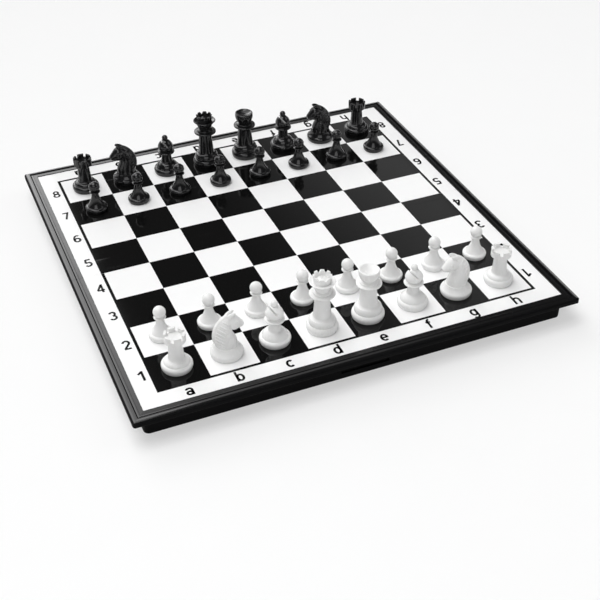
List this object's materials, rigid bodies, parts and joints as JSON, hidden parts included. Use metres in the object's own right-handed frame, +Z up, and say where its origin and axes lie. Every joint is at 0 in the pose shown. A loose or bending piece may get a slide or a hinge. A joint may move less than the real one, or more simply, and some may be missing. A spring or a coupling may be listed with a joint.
{
  "type": "folding travel chess set",
  "caption": "Folding magnetic travel chess set, laid open with turned plastic chessmen on a printed board; the two hinged halves close into a storage case.",
  "frame": {"origin": "on the table under the middle of the open board, where the fold line crosses the board's centre line", "axes": "+X along the ranks from the a-file to the h-file, +Y from White's side to Black's side, +Z up"},
  "size_m": [0.24, 0.24, 0.0468],
  "materials": {
    "case": "moulded gloss black",
    "steel_sheet": "plain rolled sheet",
    "print_sheet": "white film, printed and laminated",
    "hinge_link": "moulded black",
    "pin": "drawn wire",
    "clasp": "moulded gloss black",
    "white_men": "moulded ivory white",
    "black_men": "moulded gloss black"
  },
  "bodies": {
    "front": {"case_front": "case", "steel_sheet_front": "steel_sheet", "print_sheet_front": "print_sheet", "hinge_pins_front": "pin"},
    "links": {"hinge_link_left": "hinge_link", "hinge_link_right": "hinge_link"},
    "rear": {"case_rear": "case", "steel_sheet_rear": "steel_sheet", "print_sheet_rear": "print_sheet", "hinge_pins_rear": "pin", "clasp_pin": "pin"},
    "clasp": {"clasp": "clasp"},
    "white_rook_a": {"white_rook_a": "white_men"},
    "white_knight_b": {"white_knight_b": "white_men"},
    "white_bishop_c": {"white_bishop_c": "white_men"},
    "white_queen": {"white_queen": "white_men"},
    "white_king": {"white_king": "white_men"},
    "white_bishop_f": {"white_bishop_f": "white_men"},
    "white_knight_g": {"white_knight_g": "white_men"},
    "white_rook_h": {"white_rook_h": "white_men"},
    "white_pawn_a": {"white_pawn_a": "white_men"},
    "white_pawn_b": {"white_pawn_b": "white_men"},
    "white_pawn_c": {"white_pawn_c": "white_men"},
    "white_pawn_d": {"white_pawn_d": "white_men"},
    "white_pawn_e": {"white_pawn_e": "white_men"},
    "white_pawn_f": {"white_pawn_f": "white_men"},
    "white_pawn_g": {"white_pawn_g": "white_men"},
    "white_pawn_h": {"white_pawn_h": "white_men"},
    "black_rook_a": {"black_rook_a": "black_men"},
    "black_knight_b": {"black_knight_b": "black_men"},
    "black_bishop_c": {"black_bishop_c": "black_men"},
    "black_queen": {"black_queen": "black_men"},
    "black_king": {"black_king": "black_men"},
    "black_bishop_f": {"black_bishop_f": "black_men"},
    "black_knight_g": {"black_knight_g": "black_men"},
    "black_rook_h": {"black_rook_h": "black_men"},
    "black_pawn_a": {"black_pawn_a": "black_men"},
    "black_pawn_b": {"black_pawn_b": "black_men"},
    "black_pawn_c": {"black_pawn_c": "black_men"},
    "black_pawn_d": {"black_pawn_d": "black_men"},
    "black_pawn_e": {"black_pawn_e": "black_men"},
    "black_pawn_f": {"black_pawn_f": "black_men"},
    "black_pawn_g": {"black_pawn_g": "black_men"},
    "black_pawn_h": {"black_pawn_h": "black_men"}
  },
  "joints": [
    {"name": "fold_links", "type": "hinge", "parent": "front", "child": "links", "pos_m": [0, -0.0025, 0.0025], "axis": [-1, 0, 0], "range_deg": [0, 90]},
    {"name": "fold_rear", "type": "hinge", "parent": "links", "child": "rear", "pos_m": [0, 0.0025, 0.0025], "axis": [-1, 0, 0], "range_deg": [0, 90]},
    {"name": "clasp_pivot", "type": "hinge", "parent": "rear", "child": "clasp", "pos_m": [0, 0.116, 0.003], "axis": [-1, 0, 0], "range_deg": [0, 180]},
    {"name": "white_rook_a_lift", "type": "slide", "parent": "front", "child": "white_rook_a", "axis": [0, 0, 1], "range_m": [0, 0.05]},
    {"name": "white_knight_b_lift", "type": "slide", "parent": "front", "child": "white_knight_b", "axis": [0, 0, 1], "range_m": [0, 0.05]},
    {"name": "white_bishop_c_lift", "type": "slide", "parent": "front", "child": "white_bishop_c", "axis": [0, 0, 1], "range_m": [0, 0.05]},
    {"name": "white_queen_lift", "type": "slide", "parent": "front", "child": "white_queen", "axis": [0, 0, 1], "range_m": [0, 0.05]},
    {"name": "white_king_lift", "type": "slide", "parent": "front", "child": "white_king", "axis": [0, 0, 1], "range_m": [0, 0.05]},
    {"name": "white_bishop_f_lift", "type": "slide", "parent": "front", "child": "white_bishop_f", "axis": [0, 0, 1], "range_m": [0, 0.05]},
    {"name": "white_knight_g_lift", "type": "slide", "parent": "front", "child": "white_knight_g", "axis": [0, 0, 1], "range_m": [0, 0.05]},
    {"name": "white_rook_h_lift", "type": "slide", "parent": "front", "child": "white_rook_h", "axis": [0, 0, 1], "range_m": [0, 0.05]},
    {"name": "white_pawn_a_lift", "type": "slide", "parent": "front", "child": "white_pawn_a", "axis": [0, 0, 1], "range_m": [0, 0.05]},
    {"name": "white_pawn_b_lift", "type": "slide", "parent": "front", "child": "white_pawn_b", "axis": [0, 0, 1], "range_m": [0, 0.05]},
    {"name": "white_pawn_c_lift", "type": "slide", "parent": "front", "child": "white_pawn_c", "axis": [0, 0, 1], "range_m": [0, 0.05]},
    {"name": "white_pawn_d_lift", "type": "slide", "parent": "front", "child": "white_pawn_d", "axis": [0, 0, 1], "range_m": [0, 0.05]},
    {"name": "white_pawn_e_lift", "type": "slide", "parent": "front", "child": "white_pawn_e", "axis": [0, 0, 1], "range_m": [0, 0.05]},
    {"name": "white_pawn_f_lift", "type": "slide", "parent": "front", "child": "white_pawn_f", "axis": [0, 0, 1], "range_m": [0, 0.05]},
    {"name": "white_pawn_g_lift", "type": "slide", "parent": "front", "child": "white_pawn_g", "axis": [0, 0, 1], "range_m": [0, 0.05]},
    {"name": "white_pawn_h_lift", "type": "slide", "parent": "front", "child": "white_pawn_h", "axis": [0, 0, 1], "range_m": [0, 0.05]},
    {"name": "black_rook_a_lift", "type": "slide", "parent": "rear", "child": "black_rook_a", "axis": [0, 0, 1], "range_m": [0, 0.05]},
    {"name": "black_knight_b_lift", "type": "slide", "parent": "rear", "child": "black_knight_b", "axis": [0, 0, 1], "range_m": [0, 0.05]},
    {"name": "black_bishop_c_lift", "type": "slide", "parent": "rear", "child": "black_bishop_c", "axis": [0, 0, 1], "range_m": [0, 0.05]},
    {"name": "black_queen_lift", "type": "slide", "parent": "rear", "child": "black_queen", "axis": [0, 0, 1], "range_m": [0, 0.05]},
    {"name": "black_king_lift", "type": "slide", "parent": "rear", "child": "black_king", "axis": [0, 0, 1], "range_m": [0, 0.05]},
    {"name": "black_bishop_f_lift", "type": "slide", "parent": "rear", "child": "black_bishop_f", "axis": [0, 0, 1], "range_m": [0, 0.05]},
    {"name": "black_knight_g_lift", "type": "slide", "parent": "rear", "child": "black_knight_g", "axis": [0, 0, 1], "range_m": [0, 0.05]},
    {"name": "black_rook_h_lift", "type": "slide", "parent": "rear", "child": "black_rook_h", "axis": [0, 0, 1], "range_m": [0, 0.05]},
    {"name": "black_pawn_a_lift", "type": "slide", "parent": "rear", "child": "black_pawn_a", "axis": [0, 0, 1], "range_m": [0, 0.05]},
    {"name": "black_pawn_b_lift", "type": "slide", "parent": "rear", "child": "black_pawn_b", "axis": [0, 0, 1], "range_m": [0, 0.05]},
    {"name": "black_pawn_c_lift", "type": "slide", "parent": "rear", "child": "black_pawn_c", "axis": [0, 0, 1], "range_m": [0, 0.05]},
    {"name": "black_pawn_d_lift", "type": "slide", "parent": "rear", "child": "black_pawn_d", "axis": [0, 0, 1], "range_m": [0, 0.05]},
    {"name": "black_pawn_e_lift", "type": "slide", "parent": "rear", "child": "black_pawn_e", "axis": [0, 0, 1], "range_m": [0, 0.05]},
    {"name": "black_pawn_f_lift", "type": "slide", "parent": "rear", "child": "black_pawn_f", "axis": [0, 0, 1], "range_m": [0, 0.05]},
    {"name": "black_pawn_g_lift", "type": "slide", "parent": "rear", "child": "black_pawn_g", "axis": [0, 0, 1], "range_m": [0, 0.05]},
    {"name": "black_pawn_h_lift", "type": "slide", "parent": "rear", "child": "black_pawn_h", "axis": [0, 0, 1], "range_m": [0, 0.05]}
  ]
}
